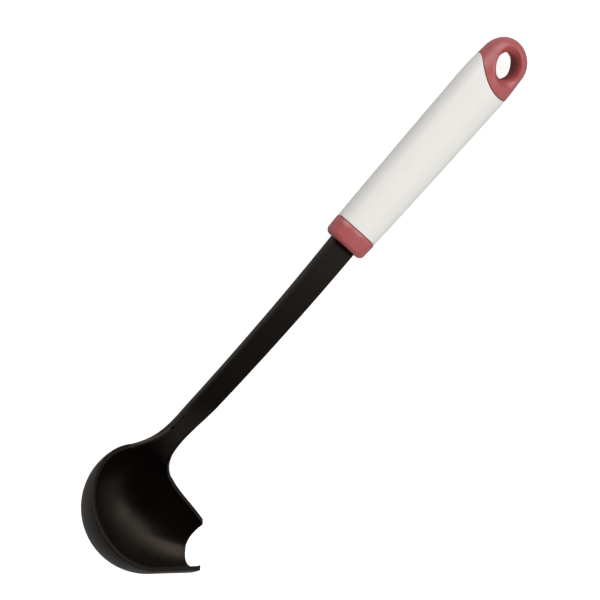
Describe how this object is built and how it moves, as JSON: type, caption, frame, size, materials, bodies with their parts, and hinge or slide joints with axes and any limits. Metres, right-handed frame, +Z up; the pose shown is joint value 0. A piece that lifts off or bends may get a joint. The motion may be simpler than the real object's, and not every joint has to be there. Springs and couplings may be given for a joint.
{
  "type": "sauce ladle",
  "caption": "Sauce ladle with a dark spouted bowl on a flat shaft, and an oval white grip between a rose collar and a rose end cap with a slanted hanging eye.",
  "frame": {"origin": "middle of the bounding box on the surface that the ladle lies on, with the back of the grip and the bowl's underside down", "axes": "+X along the handle from the bowl to the hanging eye, +Z up out of the grip's front, -Y toward the pouring spout"},
  "size_m": [0.3142, 0.0702, 0.0516],
  "materials": {
    "nylon": "satin dark brown-black nylon",
    "white_plastic": "smooth off-white",
    "rose_plastic": "satin dusty rose",
    "steel": "ground"
  },
  "bodies": {
    "root": {"ladle_head": "nylon", "collar": "rose_plastic", "grip_sleeve": "white_plastic", "end_cap": "rose_plastic", "tang_pin": "steel"}
  },
  "joints": []
}
